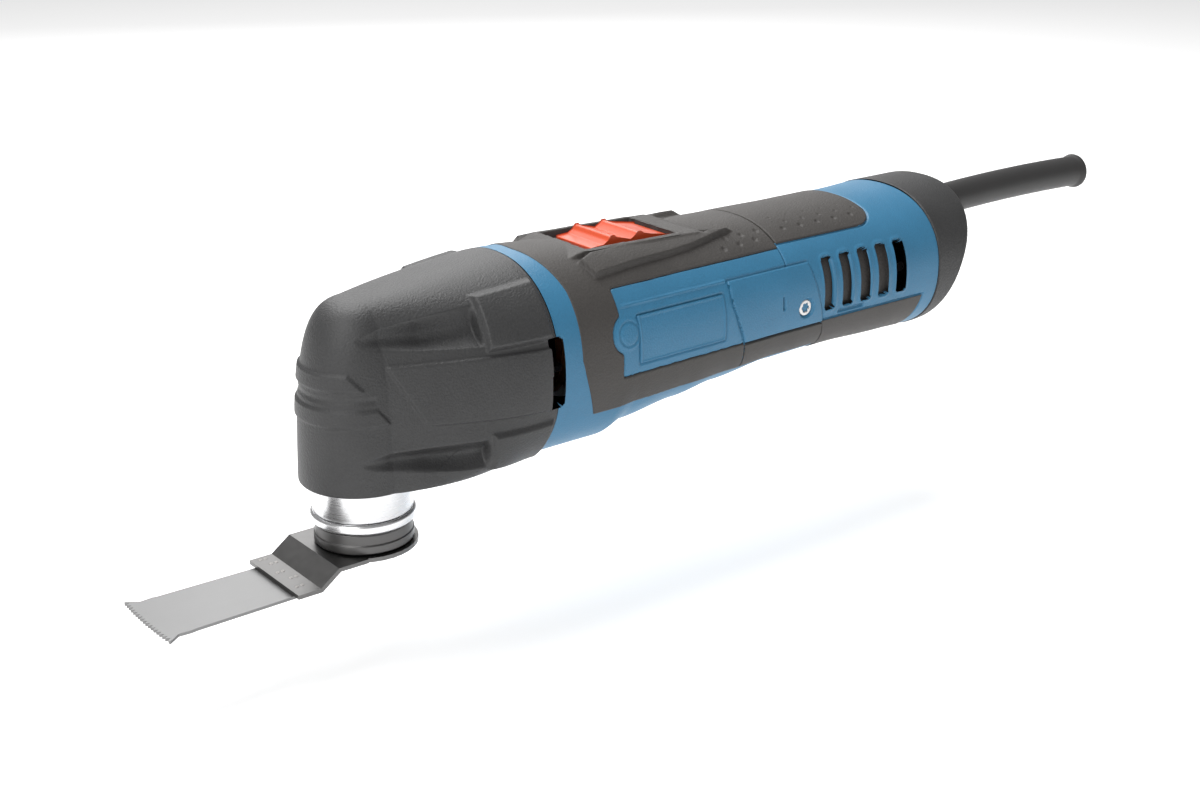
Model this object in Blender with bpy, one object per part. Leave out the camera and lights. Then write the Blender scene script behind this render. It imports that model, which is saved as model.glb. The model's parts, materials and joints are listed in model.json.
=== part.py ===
# Corded oscillating multi tool with a plunge-cut blade.
# Frame: the spindle turns about Z through X = Y = 0, the motor body runs back along +X,
# the blade points forward along -X.  Z = 0 is the floor of the clamp screw's hex socket.
import bpy
import bmesh
import math
from mathutils import Vector

for item in list(bpy.data.objects):
    bpy.data.objects.remove(item, do_unlink=True)

# ------------------------------------------------------------------ driving sizes (millimetres)
MM = 0.001
GAP = 0.3                     # clearance between neighbouring pieces
# body section stations: x, centre height, half height, half width
STATIONS = [(-30, 51.7, 34.0, 33.5), (54, 52.0, 34.2, 34.0), (79, 51.4, 33.5, 33.8),
            (88, 52.8, 31.6, 33.6), (112, 53.6, 29.6, 33.2), (130, 54.5, 28.2, 32.9),
            (155, 55.4, 26.7, 32.5), (185, 55.5, 26.2, 32.2), (212, 55.1, 26.6, 32.3),
            (230, 55.1, 27.2, 32.4), (260, 55.1, 27.2, 32.4)]
SECTION_POWER = 2.25
MOTOR_Z = 54.5                # height of the armature axis
SKIN = 2.2                    # soft grip thickness
WALL = 3.0                    # housing wall under the grip
FLANGE_RADIUS = 31.6 - SKIN - WALL    # gear head flange, inside the front housing wall
HEAD_REAR = 53.0              # rear rim of the head cover
HEAD_WALL = 2.6
NOSE_RADIUS = 19.8            # head cover radius round the spindle
HEAD_FLOOR = 21.6             # underside of the head cover at the nose
SEAM_X = 154.5                # joint between front and rear housings
CAP_X = 229.3                 # joint between rear housing and end cap
CAP_TOP_X, CAP_LOW_X = 256.0, 231.6   # rear face of the end cap at its top and bottom
CAP_WALL = 2.8
GRIP_FRONT = 62.5             # front edge of the soft grip
COVER_X0, COVER_X1 = 127.0, 166.2     # brush cover
WINDOW_X0 = 79.0              # front end of the side window in the grip
SWITCH_X0, SWITCH_X1 = 79.5, 118.5    # switch opening
SWITCH_HALF = 12.6
SLIDER_LENGTH = 33.0
SLIDER_HALF = 9.8
SLIDER_TRAVEL = 4.6                   # from off, at the rear, forward to on
SLIDER_GAP = 0.8                      # left in front when it is on
STEM_AT, STEM_LENGTH = 13.2, 4.5      # from the front of the slider
VENT_X0, VENT_PITCH, VENT_WIDTH, VENT_COUNT = 170.5, 9.0, 5.2, 5
VENT_Z0, VENT_Z1 = 50.6, 69.6
NECK_RADIUS = 16.0
RING_RADIUS = 16.9
HOLDER_RADIUS = 16.0
DISC_RADIUS = 17.2            # blade carrier disc
CRANK_DROP = 4.7              # step between disc and blade plane
CARRIER_HALF = 15.8
CARRIER_FRONT = 33.0
SHEET = 1.4                   # carrier sheet thickness
BLADE_REACH = 76.3            # spindle axis to the tooth tips
BLADE_HALF = 16.0             # half width over the teeth
BLADE_NECK = 13.2             # half width behind the teeth
BLADE_THICK = 1.0
TOOTH_COUNT = 18
TOOTH_DEPTH = 1.3
CLAMP_HEX = 5.0               # across flats of the clamp screw socket
SLEEVE_Z = 69.0               # cable sleeve height at the end cap
SLEEVE_END = 346.0
SLEEVE_RADIUS = 6.1
SLEEVE_SLOPE = 0.0541667      # rise of the bowed sleeve where it leaves the cap
SLEEVE_BORE = 4.3
DIAL_X, DIAL_Z = 235.8, 49.3  # axis of the speed dial
ROUND = 0.5                   # share of the nominal segment counts used on round faces

# ------------------------------------------------------------------ materials
def material(name, colour, metal=0.0, rough=0.5):
    m = bpy.data.materials.new(name)
    m.use_nodes = True
    node = m.node_tree.nodes["Principled BSDF"]
    node.inputs["Base Color"].default_value = (*colour, 1.0)
    node.inputs["Metallic"].default_value = metal
    node.inputs["Roughness"].default_value = rough
    m.diffuse_color = (*colour, 1.0)
    return m


BLUE = material("blue_plastic", (0.022, 0.155, 0.300), 0.0, 0.45)
BLACK = material("black_plastic", (0.030, 0.030, 0.031), 0.0, 0.60)
RUBBER = material("grip_rubber", (0.038, 0.035, 0.033), 0.0, 0.75)
RED = material("red_plastic", (0.75, 0.055, 0.015), 0.0, 0.42)
DARK = material("dark_steel", (0.09, 0.09, 0.095), 1.0, 0.42)
STEEL = material("bright_steel", (0.62, 0.62, 0.63), 1.0, 0.28)
BLADE_STEEL = material("blade_steel", (0.50, 0.50, 0.50), 1.0, 0.36)
ALLOY = material("cast_alloy", (0.56, 0.57, 0.58), 1.0, 0.45)
COPPER = material("copper", (0.70, 0.28, 0.12), 1.0, 0.38)
BRASS = material("brass", (0.70, 0.50, 0.18), 1.0, 0.35)
CARBON = material("carbon", (0.035, 0.035, 0.037), 0.0, 0.7)
LAMINATION = material("lamination", (0.30, 0.30, 0.31), 1.0, 0.5)
FELT = material("felt", (0.35, 0.32, 0.26), 0.0, 0.95)


# ------------------------------------------------------------------ mesh helpers
def link(name, verts, faces, mat, origin=(0.0, 0.0, 0.0)):
    """Object whose vertices are given in millimetres; its origin sits at `origin`."""
    mesh = bpy.data.meshes.new(name)
    ox, oy, oz = origin
    mesh.from_pydata([((x - ox) * MM, (y - oy) * MM, (z - oz) * MM) for x, y, z in verts], [], faces)
    bm = bmesh.new()
    bm.from_mesh(mesh)
    bmesh.ops.remove_doubles(bm, verts=bm.verts, dist=2e-6)
    bmesh.ops.recalc_face_normals(bm, faces=bm.faces)
    bm.to_mesh(mesh)
    bm.free()
    mesh.materials.append(mat)
    obj = bpy.data.objects.new(name, mesh)
    obj.location = (ox * MM, oy * MM, oz * MM)
    bpy.context.collection.objects.link(obj)
    return obj


def merged(*shapes):
    verts, faces = [], []
    for v, f in shapes:
        base = len(verts)
        verts += v
        faces += [tuple(i + base for i in face) for face in f]
    return verts, faces


def moved(shape, dx=0.0, dy=0.0, dz=0.0):
    return [(x + dx, y + dy, z + dz) for x, y, z in shape[0]], shape[1]


def mirrored(shape):
    return [(x, -y, z) for x, y, z in shape[0]], [tuple(reversed(f)) for f in shape[1]]


def box(x0, x1, y0, y1, z0, z1):
    v = [(x, y, z) for x in (x0, x1) for y in (y0, y1) for z in (z0, z1)]
    f = [(0, 1, 3, 2), (4, 6, 7, 5), (0, 4, 5, 1), (2, 3, 7, 6), (0, 2, 6, 4), (1, 5, 7, 3)]
    return v, f


def prism(outline, axis, a, b):
    """Extrude a 2-D outline along an axis: 'x' takes (y, z), 'y' takes (x, z), 'z' takes (x, y)."""
    n = len(outline)
    place = {"x": lambda p, q, t: (t, p, q), "y": lambda p, q, t: (p, t, q), "z": lambda p, q,
             t: (p, q, t)}[axis]
    verts = [place(p, q, a) for p, q in outline] + [place(p, q, b) for p, q in outline]
    faces = [tuple(range(n)), tuple(range(2 * n - 1, n - 1, -1))]
    faces += [(i, (i + 1) % n, n + (i + 1) % n, n + i) for i in range(n)]
    return verts, faces


def circle(radius, count, phase=0.0, centre=(0.0, 0.0)):
    return [(centre[0] + radius * math.cos(2 * math.pi * (i + phase) / count),
             centre[1] + radius * math.sin(2 * math.pi * (i + phase) / count)) for i in range(count)]


def rounded(x0, x1, z0, z1, r, n=4):
    pts = []
    for cx, cz, start in ((x1 - r, z1 - r, 0), (x0 + r, z1 - r, 90), (x0 + r, z0 + r, 180),
                          (x1 - r, z0 + r, 270)):
        for i in range(n + 1):
            a = math.radians(start + 90.0 * i / n)
            pts.append((cx + r * math.cos(a), cz + r * math.sin(a)))
    return pts


def turned(profile, axis="z", centre=(0.0, 0.0, 0.0), seg=48):
    """Revolve a closed (radius, height) loop; points on the axis close the ends."""
    cx, cy, cz = centre
    seg = max(10, int(seg * ROUND))
    verts, rings = [], []
    for r, h in profile:
        ring = []
        count = 1 if r < 1e-9 else seg
        for i in range(count):
            a = 2 * math.pi * i / seg
            u, w = r * math.cos(a), r * math.sin(a)
            p = {"z": (u, w, h), "x": (h, u, w), "y": (u, h, w)}[axis]
            ring.append(len(verts))
            verts.append((p[0] + cx, p[1] + cy, p[2] + cz))
        rings.append(ring)
    faces = []
    n = len(rings)
    for k in range(n):
        a, b = rings[k], rings[(k + 1) % n]
        if len(a) == 1 and len(b) == 1:
            continue
        for i in range(seg):
            j = (i + 1) % seg
            if len(a) == 1:
                faces.append((a[0], b[i], b[j]))
            elif len(b) == 1:
                faces.append((a[i], a[j], b[0]))
            else:
                faces.append((a[i], a[j], b[j], b[i]))
    return verts, faces


def bar(radius, z0, z1, axis="z", centre=(0.0, 0.0, 0.0), seg=32):
    return turned([(0, z0), (radius, z0), (radius, z1), (0, z1)], axis, centre, seg)


def washer(r0, r1, z0, z1, axis="z", centre=(0.0, 0.0, 0.0), seg=40):
    return turned([(r0, z0), (r1, z0), (r1, z1), (r0, z1)], axis, centre, seg)


def station(x):
    rows = STATIONS
    for a, b in zip(rows, rows[1:]):
        if x <= b[0]:
            t = max(0.0, (x - a[0]) / (b[0] - a[0]))
            t = t * t * (3 - 2 * t)
            return tuple(a[k] + (b[k] - a[k]) * t for k in (1, 2, 3))
    return rows[-1][1:]


def skin(x, deg, depth):
    """Point of the body at station x, angle from the top (90 = -Y side), `depth` under the surface."""
    zc, h, w = station(x)
    a = math.radians(deg)
    s, c = math.sin(a), math.cos(a)
    p = 2.0 / SECTION_POWER
    return (x, -(w - depth) * math.copysign(abs(s) ** p, s), zc + (h - depth) * math.copysign(abs(c) ** p, c))


def ring_shell(x0, x1, outer, inner, nx=10, nt=72):
    """Tube between depths `outer` and `inner`; x0 and x1 are numbers or functions of the angle."""
    nx, nt = max(1, int(nx * ROUND)), max(12, int(nt * ROUND))
    fx0 = x0 if callable(x0) else (lambda d: x0)
    fx1 = x1 if callable(x1) else (lambda d: x1)
    verts = []
    for depth in (outer, inner):
        for i in range(nx + 1):
            for j in range(nt):
                deg = 360.0 * j / nt
                x = fx0(deg) + (fx1(deg) - fx0(deg)) * i / nx
                verts.append(skin(x, deg, depth))
    step = (nx + 1) * nt
    faces = []
    for i in range(nx):
        for j in range(nt):
            k = (j + 1) % nt
            faces.append((i * nt + j, (i + 1) * nt + j, (i + 1) * nt + k, i * nt + k))
            faces.append((step + i * nt + j, step + i * nt + k, step + (i + 1) * nt + k,
                          step + (i + 1) * nt + j))
    for i in (0, nx):
        for j in range(nt):
            k = (j + 1) % nt
            faces.append((i * nt + j, i * nt + k, step + i * nt + k, step + i * nt + j))
    return verts, faces


def patch(x0, x1, d0, d1, outer, inner, nx=8, nt=12):
    """Curved plate on the body between angles d0 and d1 (functions of x allowed)."""
    nx, nt = max(2, int(nx * ROUND)), max(3, int(nt * ROUND))
    f0 = d0 if callable(d0) else (lambda x: d0)
    f1 = d1 if callable(d1) else (lambda x: d1)
    verts = []
    for depth in (outer, inner):
        for i in range(nx + 1):
            x = x0 + (x1 - x0) * i / nx
            for j in range(nt + 1):
                verts.append(skin(x, f0(x) + (f1(x) - f0(x)) * j / nt, depth))
    row = nt + 1
    step = (nx + 1) * row
    faces = []
    for i in range(nx):
        for j in range(nt):
            a = i * row + j
            faces.append((a, a + row, a + row + 1, a + 1))
            faces.append((step + a, step + a + 1, step + a + row + 1, step + a + row))
        for j in (0, nt):
            a = i * row + j
            faces.append((a, a + row, step + a + row, step + a))
    for i in (0, nx):
        for j in range(nt):
            a = i * row + j
            faces.append((a, a + 1, step + a + 1, step + a))
    return verts, faces


def carve(obj, *shapes, operation="DIFFERENCE"):
    """Cut (or join) simple closed solids from an object, one modifier each."""
    for k, shape in enumerate(shapes):
        tool = link("cut_%s_%d" % (obj.name, len(obj.modifiers)), *shape, BLACK)
        tool.hide_render = True
        tool.display_type = 'WIRE'
        mod = obj.modifiers.new("%s_%d" % (operation.lower(), k), 'BOOLEAN')
        mod.operation = operation
        mod.solver = 'EXACT'
        mod.object = tool
    return obj


def angle_at(x, z):
    """Angle from the top at which the body surface reaches height z on the -Y side."""
    zc, h, _ = station(x)
    c = max(-1.0, min(1.0, (z - zc) / h))
    cc = math.copysign(abs(c) ** (SECTION_POWER / 2), c)
    return math.degrees(math.acos(max(-1.0, min(1.0, cc))))


# ------------------------------------------------------------------ front housing (blue)
def grip_front(deg):
    d = min(deg, 360 - deg)
    return GRIP_FRONT - 4.0 * max(0.0, 1 - d / 45.0) + 6.0 * max(0.0, (d - 85) / 30.0)


BAND_TOP, BAND_LOW = 46.2, 35.6        # heights of the lower grip band
EAVE = 75.0                            # height where the top grip ends at the side
CREASE = 69.4                          # upper edge of the brush cover
BRUSH_X = 144.0
PLATE = (86.0, 124.0, 49.5, 66.0)      # rating plate: x0, x1, z0, z1

SIDE0, SIDE1 = angle_at(110, EAVE), angle_at(110, BAND_LOW)


def both(shape):
    return merged(shape, mirrored(shape))


front = link("motor_housing", *ring_shell(46.0, SEAM_X - 0.15, 0.25, SKIN + WALL, 18, 72), BLUE)
carve(front, ring_shell(47.0, 52.0, SKIN + WALL - 0.7, 12.0, 1, 58), operation="UNION")
carve(front,
      ring_shell(44.0, HEAD_REAR + GAP, -4.0, HEAD_WALL + 1.5, 3, 64),
      patch(GRIP_FRONT - 4.3, SEAM_X + 4, -SIDE0 - 1.5, SIDE0 + 1.5, -4.0, SKIN + 2 * GAP, 20, 24),
      both(patch(GRIP_FRONT - 0.3, WINDOW_X0 + 0.3, 36, 121.0, -3.3, SKIN + GAP + 0.25, 5, 18)),
      both(patch(WINDOW_X0 - 2, SEAM_X + 4, lambda x: angle_at(x, BAND_TOP + 0.4),
                  lambda x: angle_at(x, BAND_LOW - 2.3), -3.7, SKIN + GAP + 0.5, 12, 8)),
      both(patch(COVER_X0 - GAP, SEAM_X + 4, lambda x: angle_at(x, CREASE + GAP),
                  lambda x: angle_at(x, BAND_TOP - 1), -4.1, SKIN + GAP + 0.15, 6, 10)),
      both(patch(PLATE[0] - GAP, PLATE[1] + GAP, lambda x: angle_at(x, PLATE[3] + GAP),
                  lambda x: angle_at(x, PLATE[2] - GAP), -3.0, 1.3, 6, 8)),
      box(SWITCH_X0 - 1.5, SWITCH_X1 + 1.5, -SWITCH_HALF - 1.0, SWITCH_HALF + 1.0, 76.7, 92.0),
      box(90.0, 106.0, -5.0, 5.0, 72.0, 80.0),
      bar(8.6, -42, 42, "y", (BRUSH_X, 0, MOTOR_Z), 28),
      *[bar(1.9, 40, 60, "x", (0, sy * 17.0, MOTOR_Z - 1.5 + sz * 17.0), 16) for sy in (-1,
                                                                                        1) for sz in (-1, 1)])

# ------------------------------------------------------------------ soft grip
grip = link("grip_overmould", *ring_shell(grip_front, SEAM_X - 0.15, 0.0, SKIN, 20, 72), RUBBER)
carve(grip, prism([(71.0, 82.5), (73.0, 83.6), (77.0, 84.7), (95.0, 84.6), (126.0, 83.4), (130.0, 82.2),
                   (130.0, 80.6), (112.0, 80.9), (88.0, 82.0), (79.0, 82.4)], "y", -14.4, 14.4),
      both(patch(74.0, 143.0, lambda x: 17.0, lambda x: 40.0 - 15.0 * ((x - 74.0) / 69.0) ** 1.3,
                  -1.1, 1.2, 14, 5)), operation="UNION")
carve(grip,
      box(50, 160, -50, 50, 5, BAND_LOW),
      box(WINDOW_X0, 160, -50, 50, BAND_TOP, EAVE),
      box(COVER_X0 - 0.15, 160, -50, 50, 30, BAND_TOP + 1),
      box(SWITCH_X0, SWITCH_X1, -SWITCH_HALF, SWITCH_HALF, 70, 95))

for side, tag in ((1, "left"), (-1, "right")):
    flip = (lambda s: s) if side == 1 else mirrored
    plate = patch(PLATE[0], PLATE[1], lambda x: angle_at(x, PLATE[3]), lambda x: angle_at(x, PLATE[2]),
                  0.05, 1.0, 8, 8)
    link("rating_plate_" + tag, *flip(plate), BLUE)
    cover = patch(COVER_X0, COVER_X1, lambda x: angle_at(x, CREASE), lambda x: angle_at(x, BAND_TOP), 0.1,
                  SKIN, 8, 10)
    cover = link("brush_cover_" + tag, *flip(cover), BLUE)
    carve(cover, bar(3.5, -45 * side, -20 * side, "y", (161.5, 0, 53.6), 24),
          box(150.0, 151.2, -45, 45, 54.9, 59.9))
    band = patch(COVER_X0 + 0.15, COVER_X1, lambda x: angle_at(x, BAND_TOP - GAP),
                 lambda x: angle_at(x, BAND_LOW), -0.05, SKIN, 8, 6)
    link("brush_cover_band_" + tag, *flip(band), RUBBER)
    y = -side * (station(161.5)[2] - 0.6)
    s = -side
    screw = turned([(0, y - s * 9.0), (1.5, y - s * 9.0), (1.5, y - s * 1.5), (3.0, y - s * 1.5),
                    (3.0, y - s * 0.4),
                    (2.6, y), (1.4, y), (1.2, y - s * 0.9), (0, y - s * 0.9)], "y", (161.5, 0, 53.6), 24)
    link("brush_cover_screw_" + tag, *screw, STEEL)

# ------------------------------------------------------------------ switch
bed = link("switch_bed", *box(SWITCH_X0 - 1.2, SWITCH_X1 + 1.2, -13.0, 13.0, 76.9, 78.5), BLUE)
slider_x = SWITCH_X0 + SLIDER_GAP + SLIDER_TRAVEL
stem_x = slider_x + STEM_AT
slider = prism([(slider_x, 79.7), (slider_x + SLIDER_LENGTH, 79.7), (slider_x + SLIDER_LENGTH, 82.4),
                (slider_x + 30.0, 83.0), (slider_x + 20.6, 85.4), (slider_x + 18.6, 85.6),
                (slider_x + 17.0, 83.6),
                (slider_x + 9.2, 85.9), (slider_x + 7.2, 86.1), (slider_x + 5.6, 84.0), (slider_x, 83.6)],
               "y", -SLIDER_HALF, SLIDER_HALF)
slider = link("switch_slider", *slider, RED, (slider_x + 16.0, 0.0, 80.0))
stem = box(stem_x, stem_x + STEM_LENGTH, -3.2, 3.2, 76.5, 80.6)
carve(bed, box(stem_x - SLIDER_TRAVEL - 1.5, stem_x + STEM_LENGTH + 2.0, -4.0, 4.0, 70.0, 90.0))
carve(slider, stem, operation="UNION")
link("slide_rod", *box(stem_x - 1.5, stem_x + 79.5, -3.2, 3.2, 74.7, 76.2), BLACK,
     (slider_x + 16.0, 0.0, 80.0))
link("main_switch", *box(179.0, 201.0, -9.0, 9.0, 60.0, 76.0), BLACK)

# ------------------------------------------------------------------ rear housing, pads and end cap
rear = link("rear_housing", *ring_shell(SEAM_X + 0.15, CAP_X - 0.15, 0.25, 3.2, 16, 72), BLUE)
PAD_TOP, PAD_LOW, PAD_X1 = 47.2, 31.5, 222.0


def top_pad_half(x):
    t = max(0.0, (x - 195.0) / 10.0)
    return 43.0 * math.sqrt(max(0.05, 1 - t * t))


carve(rear,
      both(patch(SEAM_X - 2, COVER_X1 + GAP, lambda x: angle_at(x, CREASE + GAP),
                  lambda x: angle_at(x, BAND_LOW - GAP), -3.0, SKIN + GAP, 6, 14)),
      patch(SEAM_X - 2, 205.4, lambda x: -top_pad_half(x - 1.2) - 1.2,
            lambda x: top_pad_half(x - 1.2) + 1.2, -3.0, 2.25, 20, 16),
      both(patch(COVER_X1 + GAP + 0.9, PAD_X1 + GAP, lambda x: angle_at(x, PAD_TOP + GAP),
                  lambda x: angle_at(x, PAD_LOW - GAP), -3.0, 1.9, 8, 8)),
      *[prism(rounded(VENT_X0 + k * VENT_PITCH, VENT_X0 + k * VENT_PITCH + VENT_WIDTH, VENT_Z0, VENT_Z1,
                      1.6, 3),
              "y", -45, 45) for k in range(VENT_COUNT)],
      bar(2.1, -45, 45, "y", (161.5, 0, 53.6), 24))
link("rear_top_pad", *patch(SEAM_X + 0.3, 204.2, lambda x: -top_pad_half(x), top_pad_half, -0.05, 1.6, 20,
                            14), RUBBER)
for side, tag in ((1, "left"), (-1, "right")):
    pad = patch(COVER_X1 + GAP + 1.2, PAD_X1, lambda x: angle_at(x, PAD_TOP), lambda x: angle_at(x, PAD_LOW),
                -0.05, 1.6, 10, 8)
    link("rear_lower_pad_" + tag, *(pad if side == 1 else mirrored(pad)), RUBBER)


def cap_face(z):
    """X of the leaning rear face at height z."""
    zc, h, _ = station(CAP_X)
    return CAP_LOW_X + (CAP_TOP_X - CAP_LOW_X) * (z - zc + h) / (2 * h)


def cap_loft():
    """Open-fronted cup whose rear face leans back towards the top."""
    nt, verts, rings = int(80 * ROUND), [], []
    outer = [(0.0, 0.0), (0.55, 0.1), (0.84, 1.0), (0.95, 2.6), (1.0, 5.4)]
    for shift, extra, rows in ((0.0, 0.0, outer), (CAP_WALL, CAP_WALL, outer[::-1])):
        if shift:
            for back in (0.0, CAP_WALL):
                rings.append([len(verts)])
                zc = station(CAP_X)[0]
                verts.append((cap_face(zc) - back, 0.0, zc))
        for f, depth in rows:
            rings.append(list(range(len(verts), len(verts) + nt)))
            for j in range(nt):
                _, y, z = skin(CAP_X, 360.0 * j / nt, depth + extra)
                start = CAP_X + 0.15
                verts.append((start + f * (cap_face(z) - shift - start), y, z))
    faces = []
    for k in range(len(rings)):
        a, b = rings[k], rings[(k + 1) % len(rings)]
        if len(a) == 1 and len(b) == 1:
            continue
        for j in range(nt):
            m = (j + 1) % nt
            if len(a) == 1:
                faces.append((a[0], b[m], b[j]))
            elif len(b) == 1:
                faces.append((a[j], a[m], b[0]))
            else:
                faces.append((a[j], a[m], b[m], b[j]))
    return verts, faces


cap = link("end_cap", *cap_loft(), BLACK)
carve(cap, bar(SLEEVE_RADIUS + GAP, 236, 262, "x", (0, 0, SLEEVE_Z), 32),
      box(233.0, 262.0, -3.2, 3.2, DIAL_Z - 9.2, DIAL_Z + 9.2))


def sleeve_centre(x):
    t = (x - 250.0) / (SLEEVE_END - 250.0)
    return SLEEVE_Z + SLEEVE_SLOPE * max(0.0, x - 250.0) * (1 - 0.92 * max(0.0, t))


def sleeve():
    outer = [(241.5, 7.0), (244.0, 7.0), (244.1, SLEEVE_RADIUS + 0.1)]
    outer += [(252.0 + (SLEEVE_END - 254.0) * k / 7, SLEEVE_RADIUS) for k in range(8)]
    outer += [(SLEEVE_END - 1.9, SLEEVE_RADIUS + 0.6), (SLEEVE_END - 0.4, SLEEVE_RADIUS + 0.8),
              (SLEEVE_END, SLEEVE_RADIUS + 0.5)]
    inner = [(SLEEVE_END, SLEEVE_BORE + 0.3)] + [(SLEEVE_END - 6.0 - (SLEEVE_END - 248.0) * k / 6,
                                                  SLEEVE_BORE) for k in range(7)]
    inner[-1] = (241.5, SLEEVE_BORE)
    rows, nt, verts = outer + inner, int(36 * ROUND), []
    for x, r in rows:
        for j in range(nt):
            a = 2 * math.pi * j / nt
            verts.append((x, r * math.sin(a), sleeve_centre(x) + r * math.cos(a)))
    faces = []
    for k in range(len(rows)):
        n = (k + 1) % len(rows)
        faces += [(k * nt + j, k * nt + (j + 1) % nt, n * nt + (j + 1) % nt, n * nt + j) for j in range(nt)]
    return verts, faces


link("cable_sleeve", *sleeve(), RUBBER)
link("speed_module", *box(182.0, 224.0, -15.0, 15.0, 37.0, 50.0), BLACK)
dial = turned([(2.3, -2.6), (8.2, -2.6), (8.6, -2.2), (8.6, 2.2), (8.2, 2.6), (2.3, 2.6)], "y",
              (DIAL_X, 0, DIAL_Z), 48)
link("speed_dial", *dial, BLACK, (DIAL_X, 0.0, DIAL_Z))
pin = bar(2.0, -7.0, 7.0, "y", (DIAL_X, 0, DIAL_Z), 20)
link("dial_axle", *pin, STEEL)

# ------------------------------------------------------------------ head cover
def head_top(x):
    if x < 10:
        return 78.6 + 3.4 * (x + 20) / 30.0
    return 82.0 + 4.0 * min(1.0, (x - 10) / 40.0)


def head_point(u, s, inset):
    """u: 0 rear of -Y side ... 0.5 nose ... 1 rear of +Y side; s: -1 floor centre, 0 widest, 1 crest."""
    length = HEAD_REAR
    arc = 0.34
    if 0.5 - arc / 2 <= u <= 0.5 + arc / 2:
        phi = (u - 0.5) / arc * math.pi
        along, dx, dy = 0.0, -math.cos(phi), math.sin(phi)
    else:
        v = (0.5 - arc / 2 - u) / (0.5 - arc / 2) if u < 0.5 else (u - 0.5 - arc / 2) / (0.5 - arc / 2)
        along, dx, dy = length * v, 0.0, (-1.0 if u < 0.5 else 1.0)
    t = min(1.0, along / length)
    ease = t * t * (3 - 2 * t)
    half = NOSE_RADIUS + (33.9 - NOSE_RADIUS) * (1 - (1 - t) ** 1.7) - inset
    mid = 24.0 + 28.0 * ease
    top = head_top(along if along else dx * NOSE_RADIUS * 0.5) - inset
    floor = HEAD_FLOOR - 3.5 * ease + inset
    power = 3.6 - 1.35 * ease
    lower = 7.0 - 4.7 * ease ** 0.6
    a = abs(s) * math.pi / 2
    if s >= 0:
        k = math.cos(a) ** (2 / power)
        z = mid + (top - mid) * math.sin(a) ** (2 / power)
        k *= 1 - 0.10 * (1 - ease) * (z - mid) / (top - mid)
    else:
        k = math.cos(a) ** (2 / lower)
        z = mid - (mid - floor) * math.sin(a) ** (2 / lower)
    if abs(s) == 1:
        k = 0.0
    return (along + dx * half * k, dy * half * k, z)


def hood(inset):
    nu, ns = int(64 * ROUND), int(14 * ROUND)
    verts = [head_point(i / nu, j / ns, inset) for i in range(nu + 1) for j in range(-ns, ns + 1)]
    return nu, 2 * ns + 1, verts


def head_shell():
    nu, row, outer = hood(0.0)
    _, _, inner = hood(HEAD_WALL)
    step = len(outer)
    faces = []
    for i in range(nu):
        for j in range(row - 1):
            a = i * row + j
            faces.append((a, a + row, a + row + 1, a + 1))
            faces.append((step + a, step + a + 1, step + a + row + 1, step + a + row))
    for i in (0, nu):
        for j in range(row - 1):
            a = i * row + j
            faces.append((a, a + 1, step + a + 1, step + a))
    return outer + inner, faces


head = link("head_cover", *head_shell(), BLACK)
carve(head, both(patch(29.5, HEAD_REAR - 0.4, 37, 66, -1.8, 1.2, 6, 10)),
      both(patch(28.5, HEAD_REAR - 0.4, 107, 132, -0.6, 1.2, 6, 10)), operation="UNION")
carve(head, bar(NECK_RADIUS + GAP, 10, 32, "z", (0, 0, 0), 56))

# ------------------------------------------------------------------ gearbox, spindle and clamping
gear = link("gearbox_housing", *turned([(NECK_RADIUS, 12.1), (NECK_RADIUS, 26.0), (13.4, 40.0), (12.6, 58.0),
                                        (12.0, 64.5), (8.0, 68.0), (0, 68.0), (0, 65.6), (8.3, 65.6),
                                        (8.3, 57.5),
                                        (10.0, 57.5), (10.0, 30.0), (11.3, 28.0), (11.3, 12.1)],
                                       "z", (0, 0, 0), 56), ALLOY)
carve(gear, turned([(20.0, 12.0), (20.0, 42.0), (FLANGE_RADIUS, 42.0), (FLANGE_RADIUS, 46.4), (17.0, 46.4),
                    (17.0, 42.3), (11.3, 42.3),
                    (11.3, 33.0), (15.0, 33.0), (15.0, 12.0)], "x", (0, 0, MOTOR_Z), 48), operation="UNION")
carve(gear, box(4.0, 22.0, -12.8, 12.8, 43.0, 63.0), bar(14.5, 12.4, 32.4, "x", (0, 0, MOTOR_Z), 44),
      bar(9.7, 31.0, 57.2, "z", (0, 0, 0), 44),
      *[bar(1.9, 38, 60, "x", (0, sy * 17.0, MOTOR_Z - 1.5 + sz * 17.0), 16) for sy in (-1,
                                                                                        1) for sz in (-1, 1)])
for k, (sy, sz) in enumerate(((-1, -1), (-1, 1), (1, -1), (1, 1))):
    bolt = turned([(0, 39.2), (2.9, 39.2), (2.9, 41.8), (1.5, 41.8), (1.5, 51.5), (0, 51.5)], "x",
                  (0, sy * 17.0, MOTOR_Z - 1.5 + sz * 17.0), 20)
    link("housing_screw_%d" % (k + 1), *bolt, STEEL)

link("neck_ring", *turned([(8.0, 8.3), (16.2, 8.3), (RING_RADIUS, 9.0), (RING_RADIUS, 11.1), (16.2, 11.8),
                           (8.0, 11.8)],
                          "z", (0, 0, 0), 64), STEEL)
link("felt_seal", *washer(6.8, 7.8, 8.5, 11.4), FELT)
link("spindle_bearing_lower", *washer(4.3, 11.0, 12.9, 19.9), STEEL)
link("spindle_bearing_upper", *washer(4.3, 8.0, 58.2, 64.2), STEEL)
link("spindle", *turned([(3.0, 6.3), (6.4, 6.3), (6.4, 12.6), (4.0, 12.6), (4.0, 65.0), (3.4, 65.4),
                         (0, 65.4),
                         (0, 26.0), (3.0, 25.0)], "z", (0, 0, 0), 32), STEEL)
link("retaining_ring", *washer(4.3, 6.6, 20.2, 21.2), DARK)


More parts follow.
